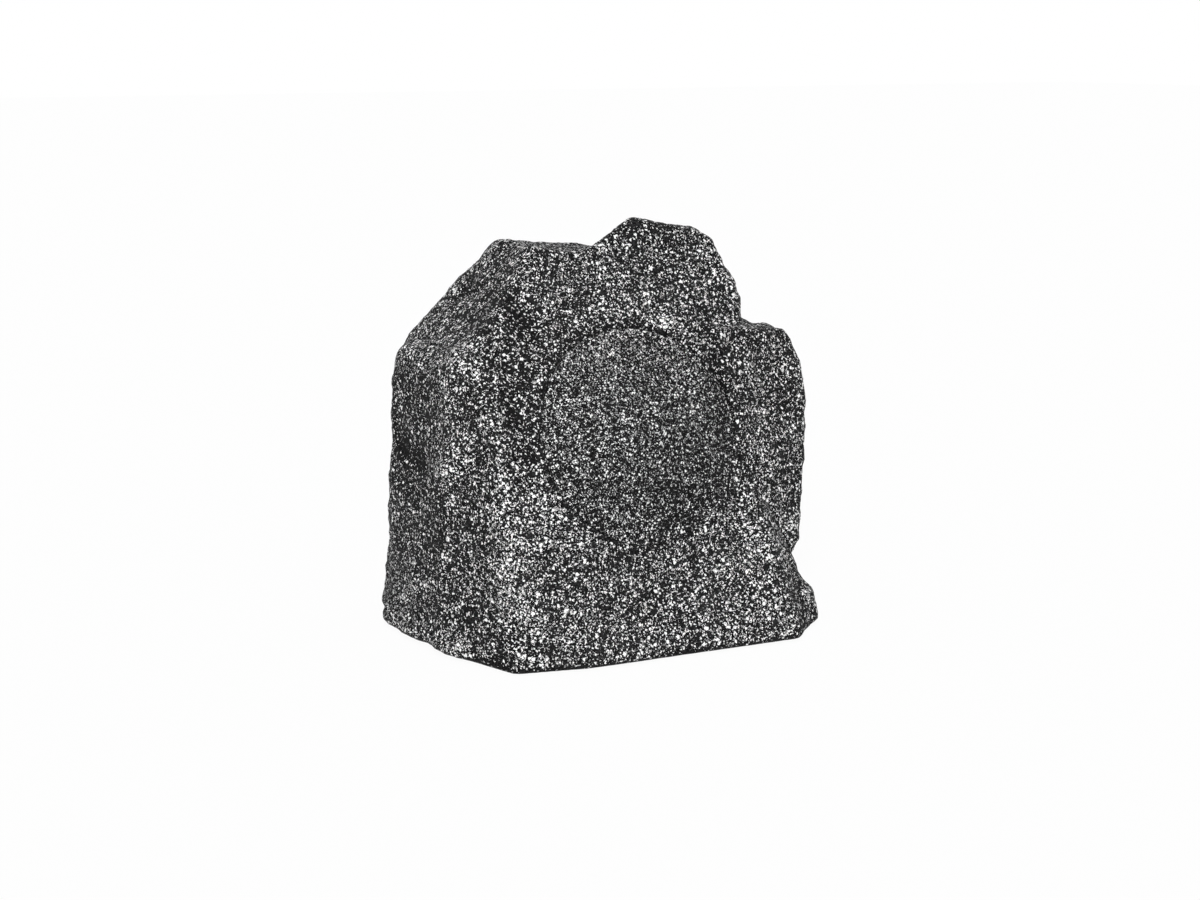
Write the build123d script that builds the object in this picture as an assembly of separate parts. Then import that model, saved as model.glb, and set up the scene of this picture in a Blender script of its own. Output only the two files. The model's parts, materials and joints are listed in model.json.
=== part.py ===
from build123d import *
import os
from math import cos, hypot, radians, sin, sqrt

# Garden loudspeaker moulded as a chiselled stone: a hollow resin rock with a creased
# perforated grille over a coaxial woofer, closed from below by a screwed base plate.
# Millimetres, +Z up, the front faces -Y, the origin lies on the ground under the rock.

# The stone's form. Each facet is a cutting plane: compass angle (0 faces the front, positive
# turns to the right), tilt above the horizon, and distance from the centre of its block.
upper_centre_height = 130.0
foot_centre_height = 0.0
foot_height = 100.0
body_facets = {
    "grille lower left": (-8.5, 15.0, 62.5),
    "grille lower middle": (3.0, 9.0, 62.8),
    "grille lower right": (17.0, 9.5, 73.5),
    "grille upper left": (-8.0, 27.0, 61.3),
    "grille upper middle": (0.0, 32.0, 58.1),
    "grille upper right": (14.0, 23.0, 68.1),
    "front left toe": (-16.0, 0.0, 98.0),
    "front left bevel": (-40.0, 9.0, 97.0),
    "left front": (-68.0, 5.0, 107.0),
    "left middle": (-86.0, 3.0, 115.0),
    "left rear": (-106.0, 2.0, 133.5),
    "left shoulder": (-96.0, 30.0, 129.0),
    "left brow": (-90.0, 44.0, 120.0),
    "front left brow": (-45.0, 40.0, 105.0),
    "plateau": (90.0, 84.0, 128.4),
    "right": (92.0, 6.0, 117.0),
    "rear": (180.0, 8.0, 93.0),
    "rear brow": (180.0, 42.0, 135.3),
    "rear left": (-140.0, 6.0, 132.0),
    "rear right": (140.0, 8.0, 128.0),
}
crown_facets = {
    "front": (-3.0, 24.0, 49.0),
    "left slope": (-130.0, 50.0, 103.2),
    "left side": (-75.0, 35.0, 72.3),
    "peak": (80.0, 82.0, 153.4),
    "peak right": (90.0, 73.0, 157.6),
    "right slope": (90.0, 24.0, 143.5),
    "right side": (92.0, 6.0, 115.0),
    "rear": (180.0, 38.0, 108.0),
    "rear lower": (180.0, 8.0, 90.0),
    "underside": (0.0, -75.0, -56.0),
}
shoulder_facets = {
    "top": (90.0, 82.0, 88.6),
    "outer bevel": (85.0, 35.0, 156.5),
    "outer side": (95.0, 8.0, 153.5),
    "under bevel": (92.0, -11.0, 149.0),
    "under waist": (90.0, -25.0, 151.0),
    "front": (12.0, 10.0, 68.5),
    "rear": (180.0, 8.0, 86.0),
    "inner side": (-60.0, 0.0, -46.7),
}
foot_facets = {
    "front": (-7.0, 27.0, 86.0),
    "right": (95.0, 24.0, 126.0),
    "front right": (40.0, 25.0, 137.5),
    "left": (-85.0, 11.0, 123.0),
    "left front": (-70.0, 11.0, 112.0),
    "front left": (-42.0, 12.0, 114.0),
    "front left toe": (-16.0, 0.0, 98.0),
    "left rear": (-105.0, 9.0, 139.5),
    "rear": (180.0, 12.0, 101.4),
    "rear right": (130.0, 13.0, 140.0),
    "top": (0.0, 90.0, foot_height),
}
stone_edge_radius = 5.0
shell_wall = 5.0
raw_block_size = 600.0
raw_block_centre_height = 100.0
far_front = 90.0

# Driver position: the axis leaves the front through the grille's centre, tilted upwards.
grille_centre = Vector(11.0, -60.0, 147.0)
driver_tilt = 20.0
baffle_depth = 31.0
baffle_thickness = 8.0

# Grille and its well in the stone.
grille_radius = 73.6
grille_well_radius = 74.0
grille_seat_radius = 70.0
grille_seat_height = 8.0
well_wall = 6.0
grille_recess = 1.0
grille_sheet = 1.0
grille_rim = 1.2
grille_opening_pitch = 12.0
grille_opening_radius = 4.3
grille_pattern_radius = 66.0
cloth_thickness = 0.4
cloth_radius = 72.0

# Base.
base_rim = 11.0
base_plate_gap = 0.6
base_plate_thickness = 4.5
base_gasket_thickness = 1.5
base_gasket_inset = 13.0
base_ledge_inset = 29.0
base_ledge_thickness = 6.0
base_screw_inset = 21.0
base_screw_count = 8
base_boss_radius = 5.0
base_boss_top = 20.0
base_pilot_top = 18.0
base_pilot_spare = 1.0
base_screw_radius = 1.5
base_head_radius = 3.8
base_head_height = 2.2
base_counterbore_depth = 2.5

# Pan head of every screw, as shares of its radius and height.
head_chamfer_share = 0.3
slot_length_share = 1.2
slot_width_share = 0.35
slot_depth_share = 0.8

# Woofer, heights measured along the driver axis from the front face of the baffle.
woofer_cutout_radius = 59.0
woofer_gasket_thickness = 1.0
woofer_gasket_margin = 0.5
flange_radius = 67.0
flange_front = 2.6
flange_inner_radius = 56.2
woofer_screw_circle = 63.3
woofer_screw_count = 6
woofer_screw_start = 30.0
woofer_pilot_depth = 7.0
woofer_screw_radius = 1.5
woofer_head_radius = 2.8
woofer_head_height = 2.0
pilot_clearance = 0.1
hole_clearance = 0.4
basket_window_count = 4
basket_window_width = 40.0
basket_window_bottom = -25.0
basket_window_top = -5.0
basket_window_inner_radius = 20.0
basket_window_corner = 5.0
shelf_top = -28.6
shelf_outer_radius = 44.8
basket_neck_radius = 37.5
basket_sheet = 1.5
basket_slope_sheet = 1.0
basket_top_sheet = 1.6
basket_bore_radius = 16.5
basket_bottom = -39.5
surround_inner_radius = 44.4
surround_outer_radius = 59.5
surround_sheet = 0.7
roll_centre_radius = 51.75
roll_radius = 4.4
cone_outer_radius = 47.5
cone_rim_radius = 44.4
cone_rim_thickness = 1.1
cone_wall = 0.6
cone_neck_front = -17.0
cone_neck_wall = 1.4
former_outer_radius = 13.1
former_inner_radius = 12.7
former_front = -16.0
former_rear = -46.0
winding_outer_radius = 13.6
winding_front = -36.0
spider_inner_radius = 13.45
spider_outer_radius = 43.0
spider_sheet = 0.6
spider_wave_height = 2.0
spider_wave_count = 5
spider_clearance = 1.0
plate_bore_radius = 14.0
plate_radius = 37.0
plate_thickness = 5.0
magnet_bore_radius = 18.0
magnet_radius = 38.0
magnet_thickness = 14.0
yoke_radius = 36.0
yoke_thickness = 5.0
yoke_chamfer = 1.5
pole_radius = 12.3

# Terminal strip hung from the basket's shelf.
terminal_tab_width = 16.0
terminal_tab_inner = 40.4
terminal_tab_sheet = 1.4
terminal_tab_drop = 10.0
terminal_strip_width = 24.0
terminal_strip_thickness = 1.6
terminal_strip_drop = 12.0
terminal_strip_gap = 1.0
terminal_tag_spacing = 12.0
terminal_tag_width = 4.0
terminal_tag_thickness = 0.8
terminal_tag_length = 10.0
terminal_tag_rise = 2.0

# Tweeter on a post in front of the woofer's pole.
post_radius = 5.0
post_front = -8.0
bolt_radius = 1.9
bolt_hole_radius = 2.2
bolt_head_radius = 3.5
bolt_head_height = 3.0
bolt_front = -3.8
nut_height = 2.2
tweeter_radius = 15.0
tweeter_front = 4.0
tweeter_wall = 1.2
tweeter_floor = 1.5
tweeter_bevel = 3.0
tweeter_ledge_radius = 11.0
tweeter_cup_radius = 13.6
tweeter_cup_rear = -3.5
tweeter_cup_front = 2.0
tweeter_cup_wall = 1.4
tweeter_magnet_radius = 10.0
tweeter_magnet_thickness = 2.4
tweeter_plate_radius = 10.4
tweeter_plate_thickness = 1.4
dome_radius = 11.4
dome_rise = 3.4
dome_film = 0.4
dome_coil_inner = 10.9
dome_coil_rear = -0.4
face_ring_inner = 12.4
face_ring_thickness = 1.2

# Crossover on the base plate.
board_centre_x = 12.0
board_centre_y = 14.0
board_length = 96.0
board_width = 62.0
board_thickness = 1.6
board_height = 16.0
board_boss_radius = 4.0
board_screw_inset = 5.0
board_screw_radius = 1.3
board_head_radius = 2.6
board_head_height = 1.8
board_screw_depth = 8.0
coil_outer_radius = 16.0
coil_inner_radius = 8.0
coil_height = 14.0
coil_offset = (-28.0, 9.0)
capacitor_radius = 7.0
capacitor_length = 30.0
capacitor_chamfer = 1.0
capacitor_offset = (24.0, 14.0)
resistor_size = (24.0, 9.0, 9.0)
resistor_offset = (24.0, -4.0)
terminals_size = (20.0, 9.0, 10.0)
terminals_socket_depth = 4.0

# Cable gland through the rear wall.
gland_x = 40.0
gland_height = 40.0
gland_seat_y = 104.5
gland_pad_y = 97.5
gland_pad_radius = 12.0
gland_thread_radius = 6.0
gland_hole_radius = 6.2
gland_bore_radius = 4.6
gland_seal_radius = 5.0
gland_seal_bore_radius = 3.0
gland_washer_thickness = 1.0
gland_hex_radius = 8.7
gland_hex_length = 5.0
gland_thread_rear_length = 14.0
gland_thread_front_length = 8.5
gland_nut_radius = 9.8
gland_nut_length = 5.0
gland_cap_radius = 8.4
gland_cap_gap = 0.5
gland_cap_length = 10.5
gland_cap_hole_radius = 4.2
gland_cap_chamfer = 2.0

# Wires and filling.
lead_radius = 1.1
lead_tail = 12.0
lead_setback = 15.0
lead_bend_radius = 8.0
wadding_bottom = 224.0

os.makedirs("parts", exist_ok=True)
parts = {}


def facing(azimuth, elevation):
    """Unit vector that looks out of a facet."""
    turn = radians(azimuth)
    tilt = radians(elevation)
    return Vector(sin(turn) * cos(tilt), -cos(turn) * cos(tilt), sin(tilt))


def chiselled_block(facets, centre_height, inset=0.0, rounding=0.0, ground=0.0):
    """Convex stone cut from a raw block by the ground and its facets, its edges worn to a radius."""
    block = Pos(0, 0, raw_block_centre_height) * Box(raw_block_size, raw_block_size, raw_block_size)
    block = split(block, bisect_by=Plane.XY.offset(ground + rounding), keep=Keep.TOP)
    for azimuth, elevation, distance in facets.values():
        normal = facing(azimuth, elevation)
        on_facet = Vector(0, 0, centre_height) + normal * (distance - inset - rounding)
        block = split(block, bisect_by=Plane(origin=on_facet, z_dir=normal), keep=Keep.BOTTOM)
    if rounding > 0:
        block = offset(block, amount=rounding, kind=Kind.ARC)
    return block


def stone(inset=0.0, rounding=0.0, ground=0.0):
    """The four blocks grown together, standing level at the given height."""
    form = chiselled_block(body_facets, upper_centre_height, inset, rounding, ground)
    form += chiselled_block(crown_facets, upper_centre_height, inset, rounding, ground)
    form += chiselled_block(shoulder_facets, upper_centre_height, inset, rounding, ground)
    if ground < foot_height:
        form += chiselled_block(foot_facets, foot_centre_height, inset, rounding, ground)
    return form


def rod(radius, bottom, top):
    """Upright cylinder between two heights."""
    return Pos(0, 0, (bottom + top) / 2) * Cylinder(radius, top - bottom)


def ring(inner, outer, bottom, top):
    """Upright tube between two heights."""
    return rod(outer, bottom, top) - rod(inner, bottom, top)


def turned(*points):
    """Solid turned about Z from a closed profile of radius and height."""
    return revolve(make_face(Plane.XZ * Polyline(*points, close=True)), Axis.Z)


def pan_screw(shank_radius, shank_length, head_radius, head_height):
    """Screw pointing up, its head's bearing face at height zero."""
    blank = rod(head_radius, -head_height, 0)
    head = chamfer(blank.edges().group_by(Axis.Z)[0], head_height * head_chamfer_share)
    slot_length = head_radius * slot_length_share
    slot = Box(slot_length, head_height * slot_width_share, head_height * slot_depth_share)
    return head - Pos(0, 0, -head_height) * slot + rod(shank_radius, 0, shank_length)


def hexagon(radius, bottom, top):
    """Upright hexagonal prism given by its corner radius."""
    return Pos(0, 0, bottom) * extrude(RegularPolygon(radius, 6), top - bottom)


def around(radius, count, start=0.0):
    """Places spaced evenly on a circle."""
    return [Rot(0, 0, start + 360 * index / count) * Pos(radius, 0, 0) for index in range(count)]


# The stone, and the outlines that follow its footprint.
stone_outside = stone(0, stone_edge_radius)
footprint = make_face(stone().faces().sort_by(Axis.Z)[0].outer_wire())
base_plane_top = base_plate_thickness + base_gasket_thickness
ledge_top = base_plane_top + base_ledge_thickness


def footprint_slab(inset, bottom, top):
    """Slab with the outline of the footprint, drawn in by an even margin."""
    outline = offset(footprint, amount=-inset)
    return Pos(0, 0, bottom) * extrude(outline, top - bottom, dir=(0, 0, 1))


screw_line = offset(footprint, amount=-base_screw_inset).face().outer_wire()
base_screw_places = []
for number in range(base_screw_count):
    spot = screw_line.position_at(number / base_screw_count)
    base_screw_places.append(Pos(spot.X, spot.Y, 0))

# The driver's own plane: its origin on the baffle's front face, its Z out of the stone.
driver_axis = facing(0, driver_tilt)
driver = Plane(origin=grille_centre - driver_axis * baffle_depth, x_dir=(1, 0, 0), z_dir=driver_axis)

# Cable gland axis, running out of the rear wall.
gland = Plane(origin=(gland_x, gland_seat_y, gland_height), x_dir=(1, 0, 0), z_dir=(0, 1, 0))
gland_wall = gland_seat_y - gland_pad_y

# Rock shell: wall, baffle with its well, ledge and screw bosses for the base, pad for the gland.
shell = stone_outside - stone(shell_wall, 0, ledge_top)
front_boss = driver * rod(grille_well_radius + well_wall, -baffle_thickness, far_front)
shell += front_boss & stone_outside
shell += gland * rod(gland_pad_radius, -gland_wall, 0)
for place in base_screw_places:
    shell += place * rod(base_boss_radius, ledge_top, base_boss_top)
shell -= footprint_slab(base_ledge_inset, 0, ledge_top)
shell -= footprint_slab(base_rim, 0, base_plane_top)
shell -= driver * rod(grille_well_radius, grille_seat_height, far_front)
shell -= driver * rod(grille_seat_radius, 0, far_front)
shell -= driver * rod(woofer_cutout_radius, -baffle_thickness, 0)
shell -= gland * rod(gland_pad_radius, 0, far_front)
shell -= gland * rod(gland_hole_radius, -gland_wall, 0)
for place in base_screw_places:
    shell -= place * rod(base_screw_radius + pilot_clearance, 0, base_pilot_top)
for place in around(woofer_screw_circle, woofer_screw_count, woofer_screw_start):
    shell -= driver * place * rod(woofer_screw_radius + pilot_clearance, -woofer_pilot_depth, 0)
parts["rock_shell"] = shell

# Grille: the creased sheet behind the stone's front facets, its rim folded back to the seat.
sheet_front = chiselled_block(body_facets, upper_centre_height, grille_recess)
sheet_back = chiselled_block(body_facets, upper_centre_height, grille_recess + grille_sheet)
cloth_inset = grille_recess + grille_sheet + cloth_thickness
cloth_back = chiselled_block(body_facets, upper_centre_height, cloth_inset)
grille_disc = driver * rod(grille_radius, grille_seat_height, far_front)
rim_tube = driver * ring(grille_radius - grille_rim, grille_radius, grille_seat_height, far_front)
opening_rows = int(grille_pattern_radius / grille_opening_pitch) + 2
openings = []
for row in range(-opening_rows, opening_rows + 1):
    for column in range(-opening_rows, opening_rows + 1):
        across = (column + 0.5 * (row % 2)) * grille_opening_pitch
        along = row * grille_opening_pitch * sqrt(3) / 2
        if hypot(across, along) < grille_pattern_radius:
            openings.append(driver * Pos(across, along, 0) * hexagon(grille_opening_radius, 0, far_front))
parts["grille"] = (grille_disc & (sheet_front - sheet_back)) + (rim_tube & sheet_front) - openings
cloth_disc = driver * rod(cloth_radius, grille_seat_height, far_front)
parts["grille_cloth"] = cloth_disc & (sheet_back - cloth_back)

# Base plate with bosses for the crossover, its gasket and its screws.
plate = footprint_slab(base_rim + base_plate_gap, 0, base_plate_thickness)
board_corners = []
for side in (-1, 1):
    for end in (-1, 1):
        corner_x = board_centre_x + end * (board_length / 2 - board_screw_inset)
        corner_y = board_centre_y + side * (board_width / 2 - board_screw_inset)
        board_corners.append(Pos(corner_x, corner_y, 0))
for corner in board_corners:
    plate += corner * rod(board_boss_radius, base_plate_thickness, board_height)
    pilot = rod(board_screw_radius + pilot_clearance, board_height - board_screw_depth, board_height)
    plate -= corner * pilot
for place in base_screw_places:
    plate -= place * rod(base_screw_radius + hole_clearance, 0, base_plate_thickness)
    plate -= place * rod(base_head_radius + hole_clearance, 0, base_counterbore_depth)
parts["base_plate"] = plate

gasket = footprint_slab(base_gasket_inset, base_plate_thickness, base_plane_top)
gasket -= footprint_slab(base_ledge_inset, base_plate_thickness, base_plane_top)
for place in base_screw_places:
    gasket -= place * rod(base_screw_radius + hole_clearance, 0, base_plane_top)
parts["base_gasket"] = gasket

base_screw_length = base_pilot_top - base_counterbore_depth - base_pilot_spare
base_screw = pan_screw(base_screw_radius, base_screw_length, base_head_radius, base_head_height)
base_screws = [place * Pos(0, 0, base_counterbore_depth) * base_screw for place in base_screw_places]
parts["base_screws"] = Compound(children=base_screws)

# Woofer frame: gasket, pressed basket with windows, and screws through the flange.
flange_rear = woofer_gasket_thickness
gasket_inner = woofer_cutout_radius + woofer_gasket_margin
gasket_outer = flange_radius - woofer_gasket_margin
woofer_gasket = ring(gasket_inner, gasket_outer, 0, flange_rear)
basket = turned(
    (flange_radius, flange_rear),
    (flange_radius, flange_front),
    (flange_inner_radius, flange_front),
    (flange_inner_radius, flange_rear),
    (shelf_outer_radius - basket_slope_sheet, shelf_top),
    (basket_neck_radius - basket_sheet, shelf_top),
    (basket_neck_radius - basket_sheet, basket_bottom + basket_sheet),
    (basket_bore_radius, basket_bottom + basket_sheet),
    (basket_bore_radius, basket_bottom),
    (basket_neck_radius, basket_bottom),
    (basket_neck_radius, shelf_top - basket_sheet),
    (shelf_outer_radius, shelf_top - basket_sheet),
    (flange_inner_radius + basket_top_sheet, flange_rear),
)
window_height = basket_window_top - basket_window_bottom
window = Box(flange_radius, basket_window_width, window_height)
window = fillet(window.edges().filter_by(Axis.X), basket_window_corner)
for place in around(basket_window_inner_radius + flange_radius / 2, basket_window_count):
    basket -= place * Pos(0, 0, basket_window_bottom + window_height / 2) * window
tab_top = shelf_top - basket_sheet
tab = Box(terminal_tab_width, terminal_tab_sheet, terminal_tab_drop)
basket += Pos(0, -terminal_tab_inner - terminal_tab_sheet / 2, tab_top - terminal_tab_drop / 2) * tab
for place in around(woofer_screw_circle, woofer_screw_count, woofer_screw_start):
    hole = rod(woofer_screw_radius + hole_clearance, 0, flange_front)
    woofer_gasket -= place * hole
    basket -= place * hole
parts["woofer_gasket"] = driver * woofer_gasket
parts["woofer_basket"] = driver * basket

woofer_screw = pan_screw(woofer_screw_radius, baffle_thickness, woofer_head_radius, woofer_head_height)
driving_in = Pos(0, 0, flange_front) * Rot(180, 0, 0)
woofer_screws = []
for place in around(woofer_screw_circle, woofer_screw_count, woofer_screw_start):
    woofer_screws.append(driver * place * driving_in * woofer_screw)
parts["woofer_screws"] = Compound(children=woofer_screws)

# Moving parts of the woofer: cone with a flat rim, coil former and its winding.
parts["woofer_cone"] = driver * turned(
    (cone_outer_radius, flange_front),
    (cone_rim_radius, flange_front),
    (former_outer_radius, cone_neck_front),
    (former_outer_radius, cone_neck_front - cone_neck_wall),
    (cone_rim_radius + cone_wall, flange_front - cone_rim_thickness),
    (cone_outer_radius, flange_front - cone_rim_thickness),
)
former = ring(former_inner_radius, former_outer_radius, former_rear, former_front)
winding = ring(former_outer_radius, winding_outer_radius, former_rear, winding_front)
parts["voice_coil_former"] = driver * former
parts["voice_coil_winding"] = driver * winding

# Suspension: half roll surround glued on the flange and the cone's rim, and the corrugated spider.
lip_top = flange_front + surround_sheet
outer_reach = sqrt(roll_radius**2 - surround_sheet**2)
inner_roll = roll_radius - surround_sheet
surround_profile = (
    Line((surround_inner_radius, flange_front), (roll_centre_radius - inner_roll, flange_front))
    + ThreePointArc(
        (roll_centre_radius - inner_roll, flange_front),
        (roll_centre_radius, flange_front + inner_roll),
        (roll_centre_radius + inner_roll, flange_front),
    )
    + Polyline(
        (roll_centre_radius + inner_roll, flange_front),
        (surround_outer_radius, flange_front),
        (surround_outer_radius, lip_top),
        (roll_centre_radius + outer_reach, lip_top),
    )
    + ThreePointArc(
        (roll_centre_radius + outer_reach, lip_top),
        (roll_centre_radius, flange_front + roll_radius),
        (roll_centre_radius - outer_reach, lip_top),
    )
    + Polyline(
        (roll_centre_radius - outer_reach, lip_top),
        (surround_inner_radius, lip_top),
        (surround_inner_radius, flange_front),
    )
)
parts["woofer_surround"] = driver * revolve(Plane.XZ * make_face(surround_profile), Axis.Z)

spider_flat = basket_neck_radius - spider_clearance
wave_step = (spider_flat - spider_inner_radius) / (2 * spider_wave_count)
upper_side = [(spider_outer_radius, shelf_top + spider_sheet)]
lower_side = [(spider_outer_radius, shelf_top)]
for index in range(2 * spider_wave_count + 1):
    lift = spider_wave_height if index % 2 else 0
    radius = spider_flat - index * wave_step
    upper_side.append((radius, shelf_top + spider_sheet + lift))
    lower_side.append((radius, shelf_top + lift))
parts["spider"] = driver * turned(*upper_side, *reversed(lower_side))

# Motor: top plate, ring magnet, and back plate and pole in one.
plate_rear = basket_bottom - plate_thickness
magnet_rear = plate_rear - magnet_thickness
yoke_rear = magnet_rear - yoke_thickness
parts["top_plate"] = driver * ring(plate_bore_radius, plate_radius, plate_rear, basket_bottom)
parts["magnet"] = driver * ring(magnet_bore_radius, magnet_radius, magnet_rear, plate_rear)
yoke = rod(yoke_radius, yoke_rear, magnet_rear) + rod(pole_radius, magnet_rear, basket_bottom)
yoke = chamfer(yoke.edges().sort_by(Axis.Z)[0], yoke_chamfer)
parts["yoke"] = driver * (yoke - rod(bolt_hole_radius, yoke_rear, basket_bottom))

# Terminal strip on the basket's tab, with two solder tags.
strip_inner = terminal_tab_inner + terminal_tab_sheet
strip_top = tab_top - terminal_strip_gap
strip_centre = Pos(0, -strip_inner - terminal_strip_thickness / 2, strip_top - terminal_strip_drop / 2)
strip = strip_centre * Box(terminal_strip_width, terminal_strip_thickness, terminal_strip_drop)
parts["terminal_strip"] = driver * strip
tag_face = strip_inner + terminal_strip_thickness
tags = []
tag_bottoms = []
for side in (-1, 1):
    tag_middle = strip_top - terminal_strip_drop + terminal_tag_rise
    tag_place = Pos(side * terminal_tag_spacing / 2, -tag_face - terminal_tag_thickness / 2, tag_middle)
    tag_blank = Box(terminal_tag_width, terminal_tag_thickness, terminal_tag_length)
    tags.append(driver * tag_place * tag_blank)
    tag_bottoms.append(driver * tag_place * Pos(0, 0, -terminal_tag_length / 2))
parts["terminal_tags"] = Compound(children=tags)

# Tweeter on its post: the bolt runs through the pole and post into a nut in the housing.
housing_rear = post_front
housing_floor = housing_rear + tweeter_floor
parts["tweeter_post"] = driver * ring(bolt_hole_radius, post_radius, basket_bottom, post_front)
bolt = rod(bolt_radius, yoke_rear, bolt_front)
bolt += hexagon(bolt_head_radius, yoke_rear - bolt_head_height, yoke_rear)
parts["tweeter_bolt"] = driver * bolt
nut_front = housing_floor + nut_height
nut = hexagon(bolt_head_radius, housing_floor, nut_front)
nut -= rod(bolt_radius + pilot_clearance, housing_floor, nut_front)
parts["tweeter_nut"] = driver * nut
parts["tweeter_housing"] = driver * turned(
    (bolt_hole_radius, housing_rear),
    (tweeter_radius - tweeter_bevel, housing_rear),
    (tweeter_radius, housing_rear + tweeter_bevel),
    (tweeter_radius, tweeter_front),
    (tweeter_radius - tweeter_wall, tweeter_front),
    (tweeter_radius - tweeter_wall, tweeter_cup_rear),
    (tweeter_ledge_radius, tweeter_cup_rear),
    (tweeter_ledge_radius, housing_floor),
    (bolt_hole_radius, housing_floor),
)
cup_floor = tweeter_cup_rear + tweeter_cup_wall
cup = rod(tweeter_cup_radius, tweeter_cup_rear, tweeter_cup_front)
cup -= rod(tweeter_cup_radius - tweeter_cup_wall, cup_floor, tweeter_cup_front)
parts["tweeter_cup"] = driver * cup
tweeter_magnet_front = cup_floor + tweeter_magnet_thickness
tweeter_plate_front = tweeter_magnet_front + tweeter_plate_thickness
parts["tweeter_magnet"] = driver * rod(tweeter_magnet_radius, cup_floor, tweeter_magnet_front)
parts["tweeter_plate"] = driver * rod(tweeter_plate_radius, tweeter_magnet_front, tweeter_plate_front)

dome_edge = tweeter_cup_front + dome_film
dome_ball_radius = (dome_radius**2 + dome_rise**2) / (2 * dome_rise)
dome_ball = Pos(0, 0, dome_edge + dome_rise - dome_ball_radius)
dome_shell = dome_ball * (Sphere(dome_ball_radius) - Sphere(dome_ball_radius - dome_film))
dome = dome_shell & rod(dome_radius, tweeter_cup_front, dome_edge + dome_rise)
dome += ring(dome_coil_inner, tweeter_cup_radius, tweeter_cup_front, dome_edge)
dome += ring(dome_coil_inner, dome_coil_inner + dome_film, dome_coil_rear, tweeter_cup_front)
parts["tweeter_dome"] = driver * dome
parts["tweeter_face_ring"] = driver * turned(
    (face_ring_inner, dome_edge),
    (tweeter_cup_radius, dome_edge),
    (tweeter_cup_radius, tweeter_front),
    (tweeter_radius, tweeter_front),
    (tweeter_radius, tweeter_front + face_ring_thickness),
    (face_ring_inner, tweeter_front + face_ring_thickness),
)

# Crossover: board on the base plate's bosses, with its coil, capacitor, resistor and terminals.
board_place = Pos(board_centre_x, board_centre_y, board_height + board_thickness / 2)
board = board_place * Box(board_length, board_width, board_thickness)
board_top = board_height + board_thickness
for corner in board_corners:
    board -= corner * rod(board_screw_radius + hole_clearance, board_height, board_top)
parts["crossover_board"] = board
board_screw = pan_screw(board_screw_radius, board_screw_depth, board_head_radius, board_head_height)
board_screws = [corner * Pos(0, 0, board_top) * Rot(180, 0, 0) * board_screw for corner in board_corners]
parts["crossover_screws"] = Compound(children=board_screws)


def on_board(spot):
    """Place on the top of the board, measured from its middle."""
    return Pos(board_centre_x + spot[0], board_centre_y + spot[1], board_top)


parts["crossover_coil"] = on_board(coil_offset) * ring(coil_inner_radius, coil_outer_radius, 0, coil_height)
capacitor = chamfer(Cylinder(capacitor_radius, capacitor_length).edges(), capacitor_chamfer)
lying = Pos(0, 0, capacitor_radius) * Rot(0, 90, 0)
parts["crossover_capacitor"] = on_board(capacitor_offset) * lying * capacitor
resistor = Box(*resistor_size, align=(Align.CENTER, Align.CENTER, Align.MIN))
parts["crossover_resistor"] = on_board(resistor_offset) * resistor

lead_starts = [bottom.position for bottom in tag_bottoms]
terminals_y = lead_starts[0].Y + lead_setback
terminals_place = Pos(lead_starts[0].X / 2 + lead_starts[1].X / 2, terminals_y, board_top)
terminals = Box(*terminals_size, align=(Align.CENTER, Align.CENTER, Align.MIN))
lead_end = terminals_size[2] - terminals_socket_depth
for side in (-1, 1):
    socket = rod(lead_radius + hole_clearance, lead_end, terminals_size[2])
    terminals -= Pos(side * terminal_tag_spacing / 2, 0, 0) * socket
parts["crossover_terminals"] = terminals_place * terminals

# Two wires leave the tags straight to the rear and drop into the crossover's terminals.
leads = []
for start in lead_starts:
    tail = start - driver_axis * lead_tail
    lead_bottom = board_top + lead_end
    route = FilletPolyline(
        (start.X, start.Y, start.Z),
        (tail.X, tail.Y, tail.Z),
        (start.X, terminals_y, (tail.Z + lead_bottom) / 2),
        (start.X, terminals_y, lead_bottom),
        radius=lead_bend_radius,
    )
    leads.append(sweep(Plane(origin=route @ 0, z_dir=route % 0) * Circle(lead_radius), path=route))
parts["woofer_leads"] = Compound(children=leads)

# Cable gland: body through the wall, washer outside, locknut inside, seal and cap on the outer end.
hex_rear = gland_washer_thickness
hex_front = hex_rear + gland_hex_length
thread_front = hex_front + gland_thread_front_length
thread_rear = -gland_wall - gland_thread_rear_length
gland_body = rod(gland_thread_radius, thread_rear, thread_front)
gland_body += hexagon(gland_hex_radius, hex_rear, hex_front)
gland_body -= rod(gland_bore_radius, thread_rear, thread_front)
gland_body -= rod(gland_seal_radius, hex_front, thread_front)
parts["gland_body"] = gland * gland_body
parts["gland_washer"] = gland * ring(gland_hole_radius, gland_hex_radius, 0, hex_rear)
nut_rear = -gland_wall - gland_nut_length
gland_nut = hexagon(gland_nut_radius, nut_rear, -gland_wall) - rod(gland_hole_radius, nut_rear, -gland_wall)
parts["gland_locknut"] = gland * gland_nut
parts["gland_seal"] = gland * ring(gland_seal_bore_radius, gland_seal_radius, hex_front, thread_front)
cap_rear = hex_front + gland_cap_gap
cap_front = cap_rear + gland_cap_length
gland_cap = rod(gland_cap_radius, cap_rear, cap_front)
gland_cap = chamfer(gland_cap.edges().sort_by(Axis.Z)[-1], gland_cap_chamfer)
gland_cap -= rod(gland_hole_radius, cap_rear, thread_front)
gland_cap -= rod(gland_cap_hole_radius, thread_front, cap_front)
parts["gland_cap"] = gland * gland_cap

# Damping wool packed into the crown.
parts["acoustic_wadding"] = stone(shell_wall, 0, wadding_bottom)

for node, solid in parts.items():
    solid.label = node
    export_step(solid, f"parts/{node}.step")
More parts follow.
